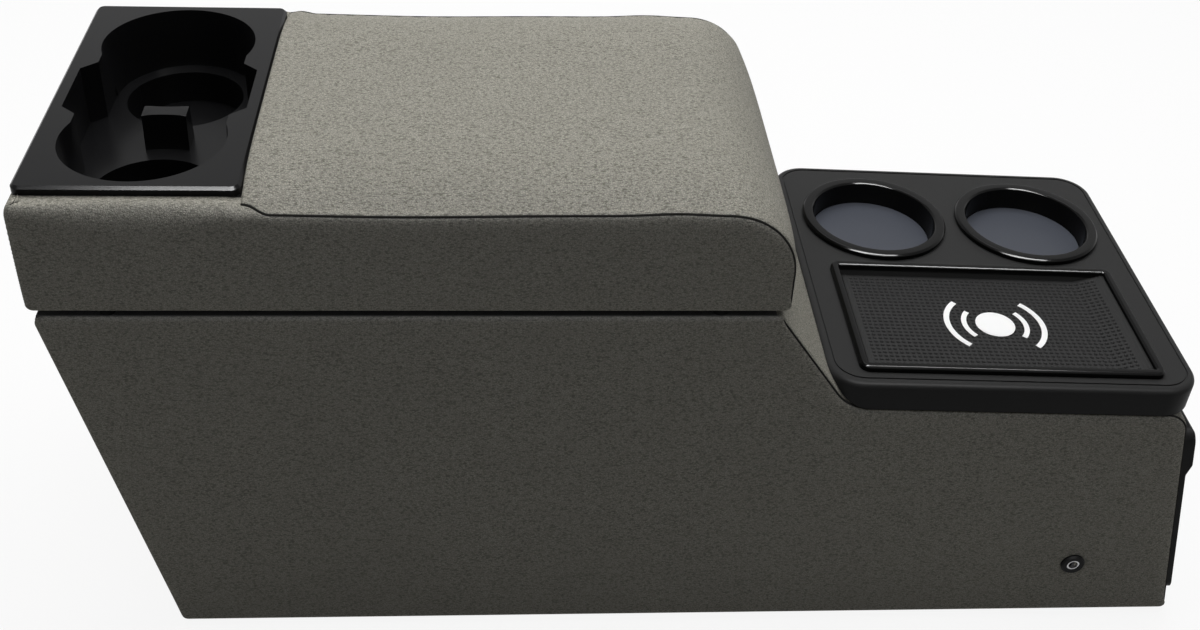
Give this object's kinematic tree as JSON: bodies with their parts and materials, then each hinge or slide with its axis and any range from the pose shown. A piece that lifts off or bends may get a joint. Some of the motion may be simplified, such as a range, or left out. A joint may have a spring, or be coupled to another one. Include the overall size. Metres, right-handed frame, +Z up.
{
  "type": "vehicle centre console organizer",
  "caption": "Leatherette-covered vehicle centre console with a hinged armrest lid over a storage box, a cup insert in the lid, and a front tray with cup rings and a phone charging pad.",
  "frame": {"origin": "on the floor under the base pad, midway along the console's length and in the middle of its width", "axes": "+X towards the vehicle's front, +Y towards its left side, +Z up"},
  "size_m": [0.6863, 0.2422, 0.3165],
  "materials": {
    "leatherette": "fine pebble grain, matt",
    "padded_leatherette": "fine pebble grain, matt, foam backed",
    "foam": "firm polyurethane foam",
    "lined_plywood": "plywood lined with black needle felt",
    "base_felt": "black non-slip felt",
    "tray_plastic": "fine leather-grain moulded plastic, satin",
    "gloss_plastic": "polished black",
    "insert_plastic": "satin black",
    "pad_rubber": "dimpled black rubber",
    "cup_mat": "blue-grey satin rubber",
    "steel": "zinc plated",
    "black_screws": "black oxide",
    "socket_plastic": "moulded black",
    "socket_metal": "nickel plated",
    "copper": "enamelled copper wire",
    "ferrite": "sintered ferrite sheet",
    "circuit": "solder resist",
    "lead_jacket": "matt cable jacket"
  },
  "bodies": {
    "console": {"base_pad": "base_felt", "base_board": "lined_plywood", "right_side_panel": "lined_plywood", "left_side_panel": "lined_plywood", "rear_panel": "lined_plywood", "riser_panel": "lined_plywood", "shelf_panel": "lined_plywood", "front_panel": "lined_plywood", "right_side_cover": "leatherette", "left_side_cover": "leatherette", "rear_cover": "leatherette", "front_wrap_cover": "leatherette", "tray_body": "tray_plastic", "tray_screws": "steel", "rear_tray_cup": "gloss_plastic", "front_tray_cup": "gloss_plastic", "rear_cup_mat": "cup_mat", "front_cup_mat": "cup_mat", "charger_frame": "gloss_plastic", "charger_mat": "pad_rubber", "charger_housing": "socket_plastic", "charging_coil": "copper", "ferrite_plate": "ferrite", "circuit_board": "circuit", "charger_lead": "lead_jacket", "jack_body": "socket_plastic", "jack_sleeve": "socket_metal", "jack_pin": "socket_metal", "jack_nut": "socket_metal", "access_panel": "tray_plastic", "access_panel_screws": "black_screws", "rim_buffers": "lead_jacket", "hinge_body_leaf": "steel", "hinge_pin": "steel", "hinge_body_screws": "steel"},
    "lid": {"lid_base_board": "lined_plywood", "insert_frame": "lined_plywood", "armrest_core": "foam", "lid_band_cover": "leatherette", "armrest_top_pad": "padded_leatherette", "cup_insert": "insert_plastic", "hinge_lid_leaf": "steel", "hinge_lid_screws": "steel"}
  },
  "joints": [
    {"name": "lid_hinge", "type": "hinge", "parent": "console", "child": "lid", "pos_m": [-0.3395, 0, 0.242], "axis": [0, -1, 0], "range_deg": [0, 95]}
  ]
}
